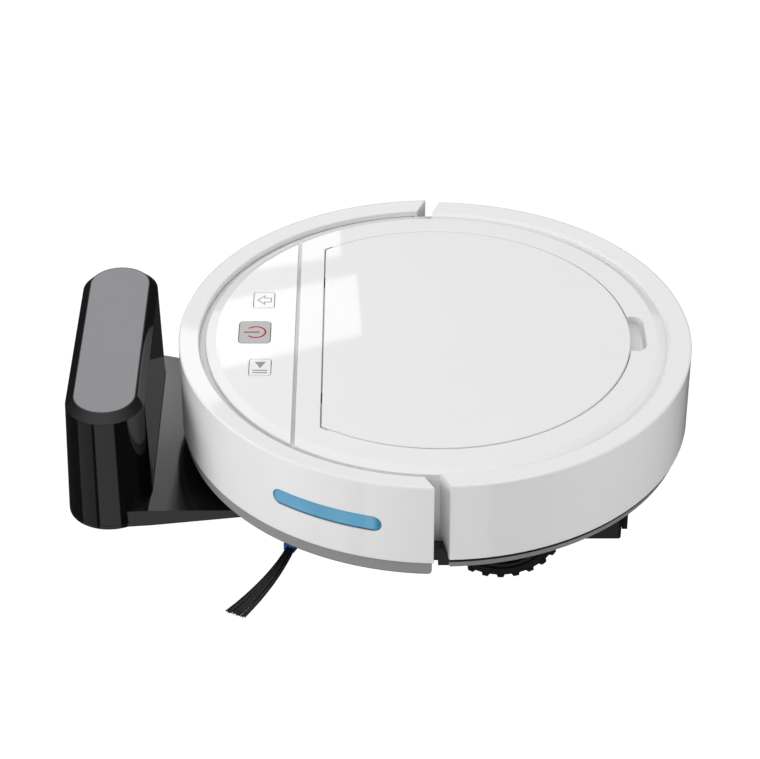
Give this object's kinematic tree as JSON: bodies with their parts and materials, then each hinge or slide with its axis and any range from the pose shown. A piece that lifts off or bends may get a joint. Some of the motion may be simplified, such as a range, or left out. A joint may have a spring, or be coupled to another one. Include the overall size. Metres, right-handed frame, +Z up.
{
  "type": "robot vacuum",
  "caption": "Round floor-cleaning robot with a sprung bumper, hinged lid, buttons, drive wheels, side brushes and roller, parked on its charging dock.",
  "frame": {"origin": "on the floor, under the centre of the robot and dock together", "axes": "+X from the robot towards the dock (the robot's front), +Y to the robot's left, +Z up"},
  "size_m": [0.3612, 0.3342, 0.0812],
  "materials": {
    "shell_white": "gloss",
    "panel_white": "high gloss",
    "button_white": "gloss",
    "button_silver": "satin silver",
    "skirt_grey": "satin",
    "chassis_black": "fine texture",
    "well_grey": "satin",
    "bin_smoke": "smoked clear",
    "bin_lid_grey": "satin",
    "filter_paper": "pleated",
    "steel": "brushed",
    "contact_metal": "plated",
    "circuit_green": "solder mask",
    "battery_blue": "shrink wrap",
    "motor_black": "moulded",
    "window_blue": "tinted clear",
    "brush_blue": "moulded",
    "bristle_black": "nylon bristle",
    "rubber_black": "moulded",
    "hub_grey": "moulded",
    "dock_gloss": "piano black",
    "dock_grey": "satin"
  },
  "bodies": {
    "chassis": {"chassis_base": "chassis_black", "base_screws": "steel", "charging_contacts": "contact_metal", "cliff_sensors": "chassis_black", "rear_skirt": "skirt_grey", "top_shell": "shell_white", "control_panel": "panel_white", "main_board": "circuit_green", "lid_hinge_pins": "steel", "bumper_springs": "steel", "bumper_switches": "chassis_black", "bin_well": "well_grey", "dust_bin": "bin_smoke", "bin_filter": "filter_paper", "bin_cover": "bin_lid_grey", "fan_motor": "steel", "blower_housing": "well_grey", "blower_cover": "well_grey", "battery_pack": "battery_blue", "battery_cover": "chassis_black", "side_brush_motors": "motor_black", "brush_head": "chassis_black", "brush_motor": "chassis_black", "scraper": "rubber_black", "suspension_brackets": "chassis_black", "suspension_spring_left": "steel", "suspension_spring_right": "steel"},
    "bumper": {"bumper": "shell_white", "bumper_skirt": "skirt_grey", "bumper_windows": "window_blue"},
    "lid": {"lid": "shell_white"},
    "home_button": {"home_button": "button_white"},
    "power_button": {"power_button": "button_silver"},
    "start_button": {"start_button": "button_white"},
    "bin_flap": {"bin_flap": "bin_smoke"},
    "fan": {"fan_impeller": "well_grey"},
    "caster_fork": {"caster_cage": "chassis_black"},
    "caster_wheel": {"caster_wheel": "rubber_black"},
    "main_roller": {"roller_core": "steel", "roller_bristles": "bristle_black"},
    "dock": {"dock_body": "dock_gloss", "dock_cap": "dock_grey", "dock_plate": "dock_gloss", "dock_board": "circuit_green", "dock_feet": "rubber_black"},
    "dock_contacts": {"dock_contacts": "contact_metal"},
    "side_brush_left": {"side_brush_hub_left": "brush_blue", "side_brush_bristles_left": "bristle_black"},
    "drive_left": {"drive_housing_left": "chassis_black", "drive_motor_left": "steel"},
    "pinion_left": {"drive_pinion_left": "hub_grey"},
    "wheel_left": {"wheel_hub_left": "hub_grey", "wheel_tyre_left": "rubber_black"},
    "side_brush_right": {"side_brush_hub_right": "brush_blue", "side_brush_bristles_right": "bristle_black"},
    "drive_right": {"drive_housing_right": "chassis_black", "drive_motor_right": "steel"},
    "pinion_right": {"drive_pinion_right": "hub_grey"},
    "wheel_right": {"wheel_hub_right": "hub_grey", "wheel_tyre_right": "rubber_black"}
  },
  "joints": [
    {"name": "bumper_slide", "type": "slide", "parent": "chassis", "child": "bumper", "axis": [-1, 0, 0], "range_m": [0, 0.003], "stiffness_N_per_m": 400, "springref_m": -0.004, "deforming": ["bumper_springs"]},
    {"name": "lid_hinge", "type": "hinge", "parent": "chassis", "child": "lid", "pos_m": [0.03155, 0, 0.0792], "axis": [0, 1, 0], "range_deg": [0, 95]},
    {"name": "bin_flap_hinge", "type": "hinge", "parent": "chassis", "child": "bin_flap", "pos_m": [-0.09525, 0, 0.033], "axis": [0, -1, 0], "range_deg": [0, 50]},
    {"name": "fan_spin", "type": "hinge", "parent": "chassis", "child": "fan", "pos_m": [0.00055, -0.042, 0.03], "axis": [0, 0, 1], "continuous": true},
    {"name": "caster_swivel", "type": "hinge", "parent": "chassis", "child": "caster_fork", "pos_m": [0.02935, 0, 0.03], "axis": [0, 0, 1], "continuous": true},
    {"name": "caster_roll", "type": "hinge", "parent": "caster_fork", "child": "caster_wheel", "pos_m": [0.02935, 0, 0.0095], "axis": [0, 1, 0], "continuous": true},
    {"name": "main_roller_spin", "type": "hinge", "parent": "chassis", "child": "main_roller", "pos_m": [-0.12065, 0, 0.0155], "axis": [0, 1, 0], "continuous": true},
    {"name": "dock_slide", "type": "slide", "parent": "chassis", "child": "dock", "axis": [1, 0, 0], "range_m": [0, 0.3]},
    {"name": "dock_contacts_press", "type": "slide", "parent": "dock", "child": "dock_contacts", "axis": [0, 0, -1], "range_m": [0, 0.0015], "stiffness_N_per_m": 300, "springref_m": -0.002},
    {"name": "home_button_press", "type": "slide", "parent": "chassis", "child": "home_button", "axis": [0, 0, -1], "range_m": [0, 0.0008], "stiffness_N_per_m": 600, "springref_m": -0.001},
    {"name": "power_button_press", "type": "slide", "parent": "chassis", "child": "power_button", "axis": [0, 0, -1], "range_m": [0, 0.0008], "stiffness_N_per_m": 600, "springref_m": -0.001},
    {"name": "start_button_press", "type": "slide", "parent": "chassis", "child": "start_button", "axis": [0, 0, -1], "range_m": [0, 0.0008], "stiffness_N_per_m": 600, "springref_m": -0.001},
    {"name": "side_brush_left_spin", "type": "hinge", "parent": "chassis", "child": "side_brush_left", "pos_m": [0.03935, 0.084, 0.008], "axis": [0, 0, 1], "continuous": true, "deforming": ["side_brush_bristles_left"]},
    {"name": "suspension_left", "type": "hinge", "parent": "chassis", "child": "drive_left", "pos_m": [-0.02865, 0.09875, 0.04], "axis": [0, -1, 0], "range_deg": [0, 25], "stiffness_Nm_per_rad": 0.12, "springref_deg": 57.3, "deforming": ["suspension_spring_left"]},
    {"name": "wheel_left_spin", "type": "hinge", "parent": "drive_left", "child": "wheel_left", "pos_m": [-0.06705, 0.117, 0.0342], "axis": [0, 1, 0], "continuous": true},
    {"name": "pinion_left_spin", "type": "hinge", "parent": "drive_left", "child": "pinion_left", "pos_m": [-0.04627, 0.098, 0.0462], "axis": [0, 1, 0], "continuous": true},
    {"name": "side_brush_right_spin", "type": "hinge", "parent": "chassis", "child": "side_brush_right", "pos_m": [0.03935, -0.084, 0.008], "axis": [0, 0, 1], "continuous": true, "deforming": ["side_brush_bristles_right"]},
    {"name": "suspension_right", "type": "hinge", "parent": "chassis", "child": "drive_right", "pos_m": [-0.02865, -0.09875, 0.04], "axis": [0, -1, 0], "range_deg": [0, 25], "stiffness_Nm_per_rad": 0.12, "springref_deg": 57.3, "deforming": ["suspension_spring_right"]},
    {"name": "wheel_right_spin", "type": "hinge", "parent": "drive_right", "child": "wheel_right", "pos_m": [-0.06705, -0.117, 0.0342], "axis": [0, 1, 0], "continuous": true},
    {"name": "pinion_right_spin", "type": "hinge", "parent": "drive_right", "child": "pinion_right", "pos_m": [-0.04627, -0.098, 0.0462], "axis": [0, 1, 0], "continuous": true}
  ],
  "couplings": [
    {"joint": "pinion_left_spin", "follows": "wheel_left_spin", "ratio": -4},
    {"joint": "pinion_right_spin", "follows": "wheel_right_spin", "ratio": -4}
  ]
}
